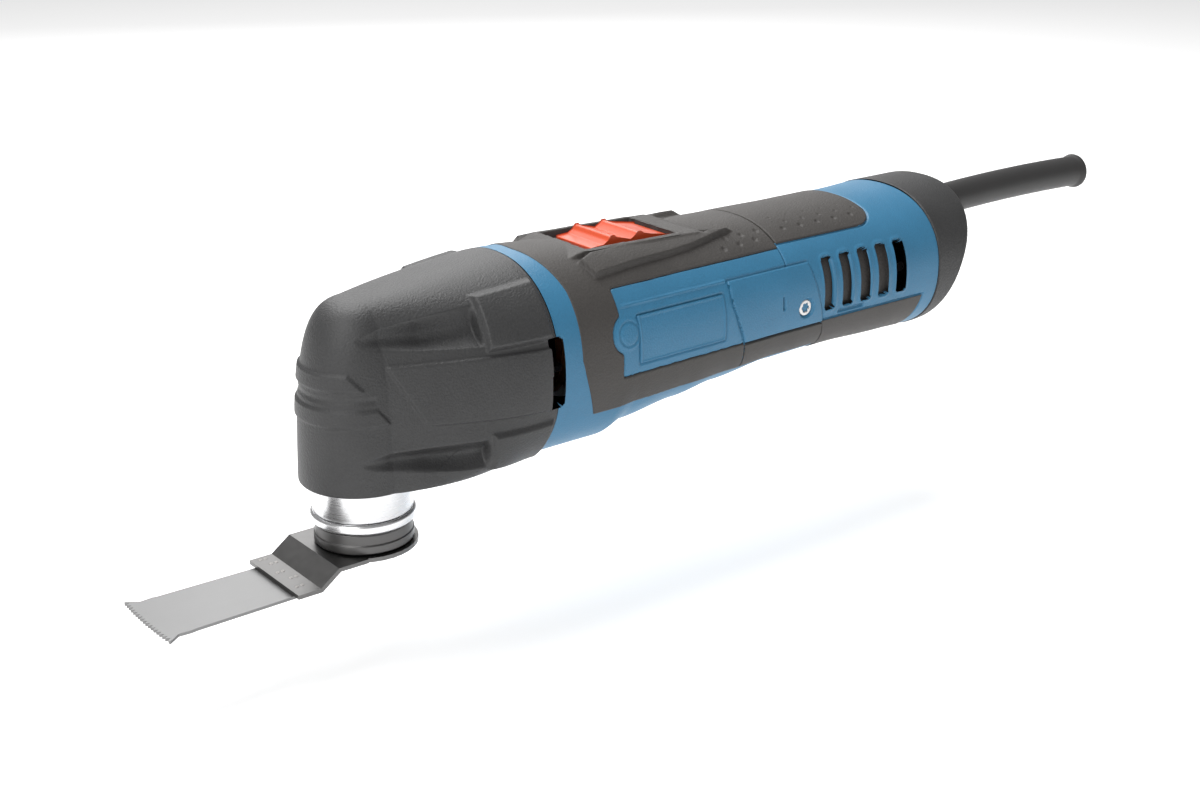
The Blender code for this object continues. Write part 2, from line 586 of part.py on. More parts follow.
def star(r_low, r_high, z0, z1, lobe=1.0):
    lower = [(r * math.cos(a), r * math.sin(a)) for r, a in
             [((r_low + (lobe if i % 2 else 0.0)), math.pi * i / 12) for i in range(24)]]
    upper = [(r * math.cos(a), r * math.sin(a)) for r, a in
             [((r_high + (lobe if i % 2 else 0.0)), math.pi * i / 12) for i in range(24)]]
    verts = [(x, y, z0) for x, y in lower] + [(x, y, z1) for x, y in upper]
    faces = [tuple(range(24)), tuple(range(47, 23, -1))]
    faces += [(i, (i + 1) % 24, 24 + (i + 1) % 24, 24 + i) for i in range(24)]
    return verts, faces


holder = link("tool_holder", *turned([(6.7, 1.2), (15.5, 1.2), (HOLDER_RADIUS, 1.7), (HOLDER_RADIUS, 4.2),
                                      (15.6, 4.5), (15.6, 7.6), (15.2, 8.0), (6.7, 8.0)], "z", (0, 0, 0),
                                      56), DARK)
carve(holder, star(13.0, 11.2, 0.2, 6.2))

carrier = link("blade_carrier", *bar(DISC_RADIUS, -0.5, 0.9, "z", (0, 0, 0), 64), DARK)
carve(carrier, star(12.6, 10.9, 0.4, 5.8), operation="UNION")
top_x, low_x, flat_z = -18.5, -25.2, 0.9 - CRANK_DROP - 0.2
crank = prism([(-8.0, 0.86), (top_x, 0.86), (low_x, flat_z), (-CARRIER_FRONT, flat_z),
               (-CARRIER_FRONT, flat_z - SHEET),
               (low_x + 0.6, flat_z - SHEET), (top_x + 0.6, -0.46), (-8.0, -0.46)], "y", -CARRIER_HALF,
               CARRIER_HALF)
carve(carrier, crank, operation="UNION")
carve(carrier, star(11.2, 9.6, -1.5, 4.4), bar(5.0, 3, 8, "z", (0, 0, 0), 32))


def blade_outline():
    """Plunge blade seen from above, toothed strip at the front with a slight bow."""
    pts = [(-25.6, -12.4), (-34.0, -12.6), (-66.0, BLADE_NECK * -1), (-67.2, -BLADE_NECK - 0.3),
           (-71.4, -BLADE_NECK),
           (-BLADE_REACH + 1.0, -BLADE_HALF)]
    for i in range(TOOTH_COUNT + 1):
        y = -BLADE_HALF + 2 * BLADE_HALF * i / TOOTH_COUNT
        bow = 0.8 * (1 - (y / BLADE_HALF) ** 2)
        root = (-BLADE_REACH + TOOTH_DEPTH - bow + 0.8, y)
        if 0 < i < TOOTH_COUNT:
            pts.append(root)
        if i < TOOTH_COUNT:
            ym = y + BLADE_HALF / TOOTH_COUNT
            bow = 0.8 * (1 - (ym / BLADE_HALF) ** 2)
            pts.append((-BLADE_REACH - bow + 0.8, ym))
    pts += [(-BLADE_REACH + 1.0, BLADE_HALF), (-71.4, BLADE_NECK), (-67.2, BLADE_NECK + 0.3),
            (-66.0, BLADE_NECK),
            (-34.0, 12.6), (-25.6, 12.4)]
    return pts


blade_z = flat_z - SHEET - 0.1
link("saw_blade", *prism(blade_outline(), "z", blade_z - BLADE_THICK, blade_z), BLADE_STEEL)

clamp = link("clamp_screw", *turned([(0, 24.0), (2.6, 24.0), (2.7, 23.6), (2.7, 4.1), (7.4, 4.1), (7.8, 3.6),
                                     (7.8, -2.6), (7.2, -3.2), (0, -3.2)], "z", (0, 0, 0), 40), DARK)
carve(clamp, prism(circle(CLAMP_HEX / 2 / math.cos(math.pi / 6), 6), "z", -5.0, 0.0))

# rocker fork gripping the eccentric bearing
fork = link("rocker_fork", *bar(8.6, 45.0, 56.6, "z", (0, 0, 0), 40), STEEL)
carve(fork, box(5.2, 29.0, -11.6, 11.6, 47.0, 61.6), operation="UNION")
carve(fork, bar(4.3, 40, 62, "z", (0, 0, 0), 32), box(11.0, 40.0, -8.4, 8.4, 40.0, 70.0),
      box(0.0, 11.0, -20, 20, 56.7, 70.0))

# ------------------------------------------------------------------ motor
axis = (0.0, 0.0, MOTOR_Z)
shaft = link("armature_shaft", *bar(4.0, 28.6, 173.0, "x", axis, 28), STEEL, (100.0, 0.0, MOTOR_Z))
carve(shaft, bar(2.5, 20.0, 30.0, "x", (0, 0, MOTOR_Z + 0.55), 24), operation="UNION")
spin = (100.0, 0.0, MOTOR_Z)
link("eccentric_bearing", *washer(2.8, 6.5, 21.0, 27.4, "x", (0, 0, MOTOR_Z + 0.55), 36), STEEL, spin)
link("armature_bearing_front", *washer(4.3, 11.0, 34.0, 41.0, "x", axis, 40), STEEL)
link("armature_bearing_rear", *washer(4.3, 9.5, 166.0, 172.0, "x", axis, 40), STEEL)
link("bearing_sleeve", *turned([(9.8, 165.2), (12.4, 165.2), (12.4, 173.6), (9.8, 173.6)], "x", axis, 40),
     RUBBER)


def toothed(count, r_in, r_out, share):
    pts = []
    for i in range(count):
        for r, k in ((r_in, 0.0), (r_in, 1 - share), (r_out, 1 - share + 0.06), (r_out, 0.94)):
            a = 2 * math.pi * (i + k) / count
            pts.append((r * math.cos(a), MOTOR_Z + r * math.sin(a)))
    return pts


core = link("armature_core", *prism(toothed(12, 11.5, 15.4, 0.72), "x", 68.0, 104.0), LAMINATION, spin)
carve(core, bar(4.3, 60, 112, "x", axis, 28))
link("armature_windings", *washer(4.3, 12.8, 104.4, 114.0, "x", axis, 36), COPPER, spin)
link("commutator", *washer(4.3, 10.0, 134.0, 153.0, "x", axis, 40), COPPER, spin)
fan = link("fan", *prism(toothed(11, 13.0, 22.0, 0.3), "x", 55.0, 63.0), BLACK, spin)
carve(fan, bar(4.3, 50, 70, "x", axis, 28))


def oval(h, w, n=48):
    p = 2 / 2.6
    return [(w * math.copysign(abs(math.cos(t)) ** p, math.cos(t)),
             MOTOR_Z + h * math.copysign(abs(math.sin(t)) ** p, math.sin(t)))
            for t in [2 * math.pi * i / n for i in range(n)]]


stator = link("stator_core", *prism(oval(19.6, 24.5), "x", 69.0, 103.0), LAMINATION)
carve(stator, bar(16.3, 60, 112, "x", axis, 48))
link("field_coil_front", *washer(16.6, 20.0, 64.4, 68.6, "x", axis, 40), COPPER)
link("field_coil_rear", *washer(16.6, 19.6, 103.4, 110.0, "x", axis, 40), COPPER)
bridge = link("bearing_bridge", *bar(16.0, 166.0, 172.6, "x", axis, 40), BLACK)
carve(bridge, box(167.0, 171.6, -28.0, 28.0, MOTOR_Z - 5, MOTOR_Z + 6), operation="UNION")
carve(bridge, bar(12.7, 160, 180, "x", axis, 40))

for side, tag in ((-1, "left"), (1, "right")):
    flip = (lambda s: s) if side == 1 else mirrored
    cx, cz = BRUSH_X, MOTOR_Z
    holder_shape = box(cx - 4.2, cx + 4.2, 12.0, 28.0, cz - 5.6, cz + 5.6)
    brush_holder = link("brush_holder_" + tag, *flip(holder_shape), BRASS)
    carve(brush_holder, flip(turned([(0, 26.0), (7.2, 26.0), (7.2, 28.8), (0, 28.8)], "y", (cx, 0, cz), 28)),
          operation="UNION")
    carve(brush_holder, flip(box(cx - 3.0, cx + 3.0, 5.0, 28.0, cz - 4.4, cz + 4.4)))
    link("carbon_brush_" + tag, *flip(box(cx - 2.7, cx + 2.7, 10.3, 21.0, cz - 4.1, cz + 4.1)), CARBON,
         (cx, side * 15.0, cz))
    link("brush_spring_" + tag, *flip(washer(1.5, 2.5, 21.2, 27.8, "y", (cx, 0, cz), 20)), STEEL,
         (cx, side * 21.2, cz))
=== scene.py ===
"""Looks of a corded oscillating multi tool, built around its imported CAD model."""
import json
import math

import bmesh
import bpy
import numpy as np
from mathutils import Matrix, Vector


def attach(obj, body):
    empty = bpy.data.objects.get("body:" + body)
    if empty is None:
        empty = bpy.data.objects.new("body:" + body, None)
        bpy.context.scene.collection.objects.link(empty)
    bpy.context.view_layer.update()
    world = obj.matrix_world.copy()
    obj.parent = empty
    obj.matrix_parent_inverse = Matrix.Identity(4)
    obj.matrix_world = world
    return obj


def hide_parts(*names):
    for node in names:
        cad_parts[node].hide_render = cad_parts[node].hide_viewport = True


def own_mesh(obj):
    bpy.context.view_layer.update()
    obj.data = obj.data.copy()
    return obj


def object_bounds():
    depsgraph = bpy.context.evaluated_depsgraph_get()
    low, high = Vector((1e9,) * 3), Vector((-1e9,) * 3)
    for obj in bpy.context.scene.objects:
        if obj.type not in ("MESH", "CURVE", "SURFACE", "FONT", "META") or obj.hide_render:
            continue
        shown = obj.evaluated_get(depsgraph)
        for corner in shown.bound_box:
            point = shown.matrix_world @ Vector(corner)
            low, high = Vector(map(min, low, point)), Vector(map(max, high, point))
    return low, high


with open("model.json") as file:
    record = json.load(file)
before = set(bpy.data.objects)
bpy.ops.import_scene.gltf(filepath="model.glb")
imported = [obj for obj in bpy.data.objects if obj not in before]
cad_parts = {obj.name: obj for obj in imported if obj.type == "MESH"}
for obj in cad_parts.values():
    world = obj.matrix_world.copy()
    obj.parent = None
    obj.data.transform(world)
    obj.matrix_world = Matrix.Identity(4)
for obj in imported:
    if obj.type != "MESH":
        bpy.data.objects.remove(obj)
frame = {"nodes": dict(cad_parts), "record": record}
cad_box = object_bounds()

# ---- Viewpoint, floor and studio light
# The tool is seen from in front of its blade and a little above, on a white floor under two wide
# softboxes, with a weaker light from behind that draws the upper edges.
def aim(thing, place, target):
    thing.location = place
    thing.rotation_euler = (Vector(place) - Vector(target)).to_track_quat('Z', 'Y').to_euler()
    bpy.context.collection.objects.link(thing)


target = Vector((0.09549, 0.0, 0.02514))
azimuth, elevation, distance = math.radians(-37.963), math.radians(20.635), 0.62306
away = Vector((math.sin(azimuth) * math.cos(elevation), -math.cos(azimuth) * math.cos(elevation),
               math.sin(elevation)))
camera = bpy.data.objects.new("camera", bpy.data.cameras.new("camera"))
camera.data.sensor_width = 36.0
camera.data.lens = 54.08
camera.data.clip_start = 0.01
aim(camera, target + away * distance, target)
bpy.context.scene.camera = camera
bpy.context.scene.view_settings.view_transform = 'Standard'

for name, place, size, power in (("softbox_front", (-0.85, -0.40, 0.75), 0.6, 7.5),
                                 ("softbox_top", (0.05, 0.35, 1.00), 0.8, 13.0),
                                 ("edge_light", (0.55, 0.85, 0.55), 0.7, 3.5)):
    lamp = bpy.data.lights.new(name, 'AREA')
    lamp.size = size
    lamp.energy = power
    aim(bpy.data.objects.new(name, lamp), place, (0.1, 0.0, 0.04))

world = bpy.data.worlds.new("studio")
world.use_nodes = True
world.node_tree.nodes["Background"].inputs["Color"].default_value = (1.0, 1.0, 1.0, 1.0)
world.node_tree.nodes["Background"].inputs["Strength"].default_value = 0.36
bpy.context.scene.world = world

floor_mesh = bpy.data.meshes.new("floor")
reach, level = 6.0, cad_box[0][2] - 0.029  # low enough for the clamp screw to come right out
floor_mesh.from_pydata([(-reach, -reach, level), (reach, -reach, level), (reach, reach, level),
                        (-reach, reach, level)], [], [(0, 1, 2, 3)])
floor = bpy.data.objects.new("floor", floor_mesh)
bpy.context.collection.objects.link(floor)
paper = bpy.data.materials.new("white_paper")
paper.use_nodes = True
paper_shader = paper.node_tree.nodes["Principled BSDF"]
paper_shader.inputs["Base Color"].default_value = (0.93, 0.93, 0.93, 1.0)
paper_shader.inputs["Roughness"].default_value = 0.9
paper_shader.inputs["Emission Color"].default_value = (1.0, 1.0, 1.0, 1.0)
paper_shader.inputs["Emission Strength"].default_value = 0.30
floor_mesh.materials.append(paper)

# ---- Front motor housing
# A tube of blue glass-filled polyamide, moulded with a fine spark grain. The soft grip is moulded over
# most of it; blue shows at the collar, at the label field on each side and along the belly.
MM = 0.001
ROWS = np.array([(-30, 51.7, 34.0, 33.5), (54, 52.0, 34.2, 34.0), (79, 51.4, 33.5, 33.8),
                 (88, 52.8, 31.6, 33.6),
                 (112, 53.6, 29.6, 33.2), (130, 54.5, 28.2, 32.9), (155, 55.4, 26.7, 32.5),
                 (185, 55.5, 26.2, 32.2),
                 (212, 55.1, 26.6, 32.3), (230, 55.1, 27.2, 32.4), (260, 55.1, 27.2, 32.4)])
BULGE = 2.0 / 2.25


class Value:
    """A shader socket that can be used in arithmetic."""

    def __init__(self, tree, socket):
        self.tree, self.socket = tree, socket

    def maths(self, operation, left, right):
        node = self.tree.nodes.new("ShaderNodeMath")
        node.operation = operation
        for place, item in zip(node.inputs, (left, right)):
            if isinstance(item, Value):
                self.tree.links.new(item.socket, place)
            else:
                place.default_value = item
        return Value(self.tree, node.outputs[0])

    def __add__(self, other):
        return self.maths("ADD", self, other)

    def __radd__(self, other):
        return self.maths("ADD", other, self)

    def __sub__(self, other):
        return self.maths("SUBTRACT", self, other)

    def __rsub__(self, other):
        return self.maths("SUBTRACT", other, self)

    def __mul__(self, other):
        return self.maths("MULTIPLY", self, other)

    def __rmul__(self, other):
        return self.maths("MULTIPLY", other, self)


class Finish:
    """A material whose shader sockets are filled from values and node outputs."""

    def __init__(self, name, **plain):
        self.material = bpy.data.materials.new(name)
        self.material.use_nodes = True
        self.tree = self.material.node_tree
        self.shader = self.tree.nodes["Principled BSDF"]
        for socket, value in plain.items():
            self.shader.inputs[socket.replace("_", " ")].default_value = value

    def node(self, kind, settings, inputs, out=0):
        node = self.tree.nodes.new(kind)
        for key, value in settings.items():
            setattr(node, key, value)
        for key, value in inputs.items():
            if isinstance(value, Value):
                self.tree.links.new(value.socket, node.inputs[key])
            else:
                node.inputs[key].default_value = value
        return Value(self.tree, node.outputs[out])

    def feed(self, socket, value):
        self.tree.links.new(value.socket, self.shader.inputs[socket])

    def noise(self, stretch, detail=2.0):
        """Noise over the object's own coordinates, `stretch` cells per metre along X, Y and Z."""
        place = self.node("ShaderNodeTexCoord", {}, {}, "Object")
        wide = self.node("ShaderNodeVectorMath", {"operation": 'MULTIPLY'}, {0: place, 1: stretch})
        return self.node("ShaderNodeTexNoise", {}, {"Vector": wide, "Scale": 1.0, "Detail": detail})

    def relief(self, height, depth, strength):
        self.feed("Normal", self.node("ShaderNodeBump", {}, {"Height": height, "Distance": depth,
                                                             "Strength": strength}))

    def tint(self, dark, light, factor):
        self.feed("Base Color", self.node("ShaderNodeMix", {"data_type": 'RGBA'},
                                          {0: factor, 6: (*dark, 1.0), 7: (*light, 1.0)}, 2))


def moulded(name, colour, rough, grain, depth, spread=0.22):
    """Moulded plastic or rubber: fine grain, slight mottling and a roughness that follows the grain."""
    finish = Finish(name)
    fine = finish.noise((grain, grain, grain), 3.0)
    broad = finish.noise((70.0, 70.0, 70.0), 2.0)
    finish.tint([c * (1 - spread) for c in colour], [c * (1 + spread) for c in colour],
                fine * 0.6 + broad * 0.4)
    finish.feed("Roughness", (rough - 0.06) + fine * 0.12)
    finish.relief(fine, depth, 0.5)
    return finish.material


def station(x):
    """Centre height, half height and half width of the body at x."""
    k = np.clip(np.searchsorted(ROWS[:, 0], x) - 1, 0, len(ROWS) - 2)
    t = np.clip((x - ROWS[k, 0]) / (ROWS[k + 1, 0] - ROWS[k, 0]), 0, 1)
    t = t * t * (3 - 2 * t)
    return [ROWS[k, c] + (ROWS[k + 1, c] - ROWS[k, c]) * t for c in (1, 2, 3)]


def skin(x, deg, depth):
    """Point of the body at x, at an angle from the top (90 is the -Y side), `depth` under the surface."""
    zc, h, w = station(x)
    s, c = np.sin(np.radians(deg)), np.cos(np.radians(deg))
    return np.stack([x + 0 * s, -(w - depth) * np.sign(s) * abs(s) ** BULGE,
                     zc + (h - depth) * np.sign(c) * abs(c) ** BULGE], -1)


def rect(p, q, p0, p1, q0, q1, r):
    """Distance from a rounded rectangle, negative inside."""
    a = abs(p - (p0 + p1) / 2) - (p1 - p0) / 2 + r
    b = abs(q - (q0 + q1) / 2) - (q1 - q0) / 2 + r
    return np.hypot(np.maximum(a, 0), np.maximum(b, 0)) + np.minimum(np.maximum(a, b), 0) - r


def field(p, q, corners):
    """Distance from a polygon, negative inside."""
    inside, near = np.zeros(np.broadcast(p, q).shape, bool), np.full(np.broadcast(p, q).shape, 1e9)
    for (a0, b0), (a1, b1) in zip(corners, corners[1:] + corners[:1]):
        t = np.clip(((p - a0) * (a1 - a0) + (q - b0) * (b1 - b0)) / ((a1 - a0) ** 2 + (b1 - b0) ** 2),
                    0, 1)
        near = np.minimum(near, np.hypot(p - a0 - t * (a1 - a0), q - b0 - t * (b1 - b0)))
        if b0 != b1:
            inside ^= ((b0 > q) != (b1 > q)) & (p < a0 + (q - b0) * (a1 - a0) / (b1 - b0))
    return np.where(inside, -near, near)


def rise(d, width):
    """0 outside an outline, easing to 1 at `width` inside it."""
    t = np.clip(-d / width, 0, 1)
    return t * t * (3 - 2 * t)


def groove(d, width):
    """1 along an outline, fading to 0 at `width` from it."""
    return rise(abs(d) - width, width * 0.8)


def surface(name, points, material, keep=None, wrap=False):
    """Mesh object over a grid of points in millimetres, facing outwards."""
    rows, cols = points.shape[:2]
    index = np.arange(rows * cols).reshape(rows, cols)
    if wrap:
        index = np.concatenate([index, index[:, :1]], 1)
    faces = np.stack([index[:-1, :-1], index[1:, :-1], index[1:, 1:], index[:-1, 1:]], -1).reshape(-1, 4)
    if keep is not None:
        faces = faces[keep.ravel()[faces].all(1)]
    flat = points.reshape(-1, 3)
    corner = flat[faces]
    normal = np.cross(corner[:, 2] - corner[:, 0], corner[:, 3] - corner[:, 1])
    if (normal * (corner.mean(1) - flat.mean(0))).sum() < 0:
        faces = faces[:, ::-1]
    used = np.unique(faces)
    renumber = np.zeros(len(flat), int)
    renumber[used] = np.arange(len(used))
    mesh = bpy.data.meshes.new(name)
    mesh.from_pydata((flat[used] * MM).tolist(), [], renumber[faces].tolist())
    mesh.validate()
    work = bmesh.new()
    work.from_mesh(mesh)
    bmesh.ops.remove_doubles(work, verts=work.verts, dist=1e-5)
    work.to_mesh(mesh)
    work.free()
    mesh.shade_smooth()
    mesh.materials.append(material)
    piece = bpy.data.objects.new(name, mesh)
    bpy.context.collection.objects.link(piece)
    return piece


def body_tube(name, front, rear, height, material, cell=0.46, edge=0.5):
    """Skin of the body from `front` to `rear` with rounded ends; height(x, y, z, deg) is in mm."""
    deg = np.arange(0, 360, 360 * cell / 207)[None, :]
    first = front(deg) if callable(front) else front + 0 * deg
    turn = np.radians(np.linspace(0, 90, 5))
    count = int((rear - np.min(first)) / cell)
    span = np.linspace(0, 1, count)[:, None]
    middle = first + edge + (rear - first - 2 * edge) * span
    head = first + edge * (1 - np.cos(turn[:-1]))[:, None]
    tail = rear - edge * (1 - np.cos(turn[:-1]))[::-1, None] + 0 * deg
    fall = edge * (1 - np.sin(turn[:-1]))
    x = np.concatenate([head[:1], head, middle, tail, tail[-1:]])
    depth = np.concatenate([[2.6], fall, np.zeros(count), fall[::-1], [2.6]])[:, None]
    deg = deg + 0 * x
    base = skin(x, deg, 0.0)
    lift = height(x, base[..., 1], base[..., 2], deg)
    return surface(name, skin(x, deg, depth - lift), material, lift > -3.1, True)


def stands_for(piece, node, body):
    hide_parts(node)
    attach(piece, body)


blue = moulded("blue_polyamide", (0.030, 0.160, 0.290), 0.44, 1700.0, 0.00028, 0.24)
cover_edge = [(126.6, 69.4), (164.6, 69.4), (166.6, 61.3), (169.3, 51.7), (171.9, 44.1), (175.6, 35.4),
              (136.1, 35.4), (132.1, 48.1), (129.6, 54.4), (127.1, 61.8)]
seam = 154.5


def grip_front(deg):
    d = np.minimum(deg, 360 - deg)
    return 62.5 - 4.0 * np.maximum(0, 1 - d / 45) + 6.0 * np.maximum(0, (d - 85) / 30)


def boss(x, z):
    """Distance from the round boss at the front of the label field."""
    return np.hypot(x - 82.0, z - 60.6) - 6.9


def uncovered(x, z, side):
    """Distance from the places that the soft grip leaves open, negative inside them."""
    label = np.minimum(rect(x, z, 79.0, 190, 46.2, 75.0, 1.2), boss(x, z))
    open_side = np.minimum(np.where(side, label, 9.0), z - 35.6)
    return np.minimum(open_side, np.where(side & (x > 120), field(x, z, cover_edge), 9.0))


def front_height(x, y, z, deg):
    side = abs(y) > 16
    lift = np.full(x.shape, -0.25)
    buried = (x > grip_front(deg) + 1.2) * rise(1.1 - uncovered(x, z, side), 0.3)
    lift -= 2.0 * np.maximum(buried, rise(field(x, z, cover_edge) + 0.9, 0.3) * side)
    lift -= 0.8 * groove(np.minimum(rect(x, z, 79.0, 190, 46.2, 75.0, 1.0), boss(x, z)), 0.45) * side
    lift -= 0.5 * groove(field(x, z, cover_edge), 0.45) * side
    lift -= 0.45 * rise(rect(x, z, 85.6, 124.4, 49.1, 66.4, 0.8), 0.5) * side
    lift -= 4.2 * (x < 53.2)
    lift -= 9.0 * rise(rect(x, z, 40, 55.6, 42.0, 65.4, 2.0), 0.5) * side
    lift += 0.35 * rise(boss(x, z) + 1.6, 0.4) * side
    lift -= 0.4 * groove(boss(x, z) + 3.0, 0.5) * side
    lift += 0.5 * groove(z - 69.4, 0.5) * side * (x > 80) * (x < 126)
    return lift


housing = body_tube("motor_housing_shell", 46.0, seam - 0.15, front_height, blue)
stands_for(housing, "motor_housing", "housing")

# ---- Soft grip
# Thermoplastic rubber, nearly black with a warm cast, moulded over the housing in a second shot. It
# leaves the label fields open, frames the switch on a raised deck and narrows to a band on the side.
rubber = moulded("grip_rubber", (0.044, 0.040, 0.037), 0.60, 1300.0, 0.00040, 0.42)


deck = ([71, 73, 77, 95, 126, 130], [82.5, 83.6, 84.7, 84.6, 83.4, 82.2])
wedge = [(73.4, 16.3), (76, 22.9), (119, 18.8), (143.7, 13.8), (133.8, 12.5), (117.3, 12.4), (79.8, 13.7)]
front_dimples = [(132.3, 21.1), (140.1, 20.4), (147.7, 19.7), (143.9, 16.6), (136.2, 17.0), (151.4, 16.0)]


def grip_height(x, y, z, deg):
    a, top, side = abs(y), z > 66, abs(y) > 16
    lift = -1.7 * rise(uncovered(x, z, side), 0.6)
    raised = np.interp(x, *deck) - z
    on_deck = rise(np.maximum(a - 14.6, np.maximum(70.5 - x, x - 130.5)), 1.2) * top
    lift += np.clip(raised, 0, 4) * on_deck
    lift += 2.1 * rise(field(x, a, wedge), 0.8) * top * (1 - on_deck)
    lift = np.where(top & (rect(x, y, 79.5, 118.5, -12.6, 12.6, 1.0) < -0.6), -20.0, lift)
    for cx, cy in front_dimples:
        lift -= 0.45 * rise(np.hypot(x - cx, a - cy) - 1.3, 1.1) * top
    lift -= 0.35 * rise(abs(x - 130.2) - 0.3, 0.25) * (a < 13) * top
    lift -= 0.9 * rise(field(x, a, [(129.6, 9.6), (135.6, 11.2), (135.4, 12.0), (129.4, 10.4)]),
                       0.3) * top
    return lift


grip = body_tube("grip_rubber_shell", grip_front, seam - 0.15, grip_height, rubber, 0.44)
stands_for(grip, "grip_overmould", "housing")


# The switch well has its own upright wall, whose rim follows the deck.
corner = np.arange(0, 360, 7.5)
well_x = np.where((corner < 90) | (corner >= 270), 118.5 - 1.0, 79.5 + 1.0)[:, None]
well_y = np.where(corner < 180, 12.6 - 1.0, -12.6 + 1.0)[:, None]
reach_out, drop = (np.array(c)[None, :] for c in ([3.2, 1.9, 1.25, 1.0, 1.0, 1.0],
                                                  [0.1, -0.12, -0.1, 0.15, 3.0, 7.5]))
wall_x = well_x + reach_out * np.cos(np.radians(corner))[:, None]
wall_y = well_y + reach_out * np.sin(np.radians(corner))[:, None]
wall = np.stack([wall_x, wall_y, np.interp(wall_x, *deck) - drop], -1).transpose(1, 0, 2)
well_wall = surface("switch_well_wall", wall, rubber, None, True)
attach(well_wall, "housing")

# ---- Side plates
# Thin blue plates snapped into a recess in each label field, blank apart from a fine rim. They start
# behind the plain round boss that is moulded at the front of the field.
def side_height(outline, proud, extra=None):
    """Height of a thin piece that fills an outline seen from the side and dips away outside it."""
    def height(x, y, z, deg):
        lift = proud + 0.0 * x - 1.9 * (1 - rise(outline(x, z), 0.45))
        return lift + (extra(x, z) if extra else 0)
    return height


def side_piece(name, node, x0, x1, z0, z1, height, material, cell=0.3):
    """Left and right piece on the body's flanks; the right one is the mirror of the left."""
    for mirror, tag in ((1, "left"), (-1, "right")):
        x, z = np.meshgrid(np.arange(x0, x1, cell), np.arange(z0, z1, cell), indexing="ij")
        zc, h, w = station(x)
        reach = np.clip((z - zc) / h, -0.999, 0.999)
        deg = np.degrees(np.arccos(np.sign(reach) * abs(reach) ** (1 / BULGE)))
        lift = height(x, z, z, deg)
        points = skin(x, deg, -lift) * np.array([1.0, mirror, 1.0])
        keep = lift > -1.6
        piece = surface(name + tag, points, material, keep)
        stands_for(piece, node + tag, "housing")


def plate_outline(x, z):
    return rect(x, z, 86.0, 124.0, 49.5, 66.0, 0.6)


def plate_rim(x, z):
    return -0.22 * rise(plate_outline(x, z) + 0.9, 0.3)


side_piece("side_plate_", "rating_plate_", 85.0, 125.0, 48.5, 67.0,
           side_height(plate_outline, 0.02, plate_rim), blue)

# ---- Brush covers
# Each cover closes the brush chamber. It is blue above and carries a rubber band below that carries
# the grip's line on, and one star-socket screw with a countersunk seat holds it.
screw_x, screw_z = 161.5, 53.6


def cover_outline(x, z):
    return np.maximum(field(x, z, cover_edge), 46.4 - z)


def cover_marks(x, z):
    seat = -1.1 * rise(np.hypot(x - screw_x, z - screw_z) - 3.7, 0.4)
    return seat - 1.3 * rise(rect(x, z, 150.0, 151.0, 54.9, 59.9, 0.3), 0.3)


def band_outline(x, z):
    return np.maximum(field(x, z, cover_edge), z - 46.1)


side_piece("brush_lid_", "brush_cover_", 125.0, 173.0, 45.4, 70.4,
           side_height(cover_outline, 0.12, cover_marks), blue)
side_piece("brush_lid_band_", "brush_cover_band_", 130.0, 177.0, 34.6, 47.0,
           side_height(band_outline, 0.08), rubber, 0.3)


def metal(name, colour, rough, stretch, depth=0.00003, spread=0.12):
    """Worked steel or alloy: fine tool marks that run where `stretch` is small."""
    finish = Finish(name, Metallic=1.0)
    marks = finish.noise(stretch, 3.0)
    cloud = finish.noise((45.0, 45.0, 45.0), 2.0)
    finish.tint([c * (1 - spread) for c in colour], [min(1, c * (1 + spread)) for c in colour],
                marks * 0.5 + cloud * 0.5)
    finish.feed("Roughness", (rough - 0.08) + marks * 0.16)
    finish.relief(marks, depth, 0.35)
    return finish.material


def lathe(name, profile, axis, centre, material, count=128, arc=None):
    """Closed ring or disc turned from a (radius, height) outline in millimetres."""
    turn = np.linspace(0, 2 * math.pi, count, endpoint=False)[None, :]
    r, h = (np.array(c, float)[:, None] for c in zip(*profile))
    if arc is not None:
        r = arc(r, h, turn)
    u, w, h = r * np.cos(turn), r * np.sin(turn), h + 0 * turn
    points = np.stack({"x": (h, u, w), "y": (u, h, w), "z": (u, w, h)}[axis], -1) + np.array(centre)
    piece = surface(name, points, material, None, True)
    return piece


def rounded(profile, radius=0.25, steps=3):
    """The same outline with its inner corners turned to short arcs; the two end points stay."""
    points = [profile[0]]
    for a, b, c in zip(profile, profile[1:], profile[2:]):
        a, b, c = (np.array(p, float) for p in (a, b, c))
        la, lc = np.linalg.norm(a - b), np.linalg.norm(c - b)
        cut = min(radius, la * 0.45, lc * 0.45)
        p, q = b + (a - b) / max(la, 1e-9) * cut, b + (c - b) / max(lc, 1e-9) * cut
        for k in range(steps + 1):
            t = k / steps
            points.append(tuple((1 - t) ** 2 * p + 2 * t * (1 - t) * b + t * t * q))
    return points + [profile[-1]]


turned_steel = metal("turned_steel", (0.74, 0.74, 0.75), 0.26, (30.0, 30.0, 5200.0))
screw_steel = metal("screw_steel", (0.62, 0.61, 0.60), 0.30, (900.0, 900.0, 900.0))


def star_socket(r, h, turn):
    """Six lobes on the inner wall of the screw's socket."""
    return np.where(r < 1.75, r * (1 + 0.17 * np.cos(6 * turn)), r)


half_width = float(station(screw_x)[2])
for mirror, tag in ((-1, "left"), (1, "right")):
    head_face = half_width - 0.7
    outline = [(0.01, head_face - 1.5), (1.3, head_face - 1.5), (1.55, head_face - 0.25),
               (1.75, head_face),
               (2.7, head_face - 0.05), (3.0, head_face - 0.4), (3.0, head_face - 1.5),
               (1.5, head_face - 1.6)]
    outline = [(r, mirror * h) for r, h in rounded(outline, 0.15)]
    screw = lathe("cover_screw_" + tag, outline, "y", (screw_x, 0, screw_z), screw_steel, 96, star_socket)
    stands_for(screw, "brush_cover_screw_" + tag, "housing")

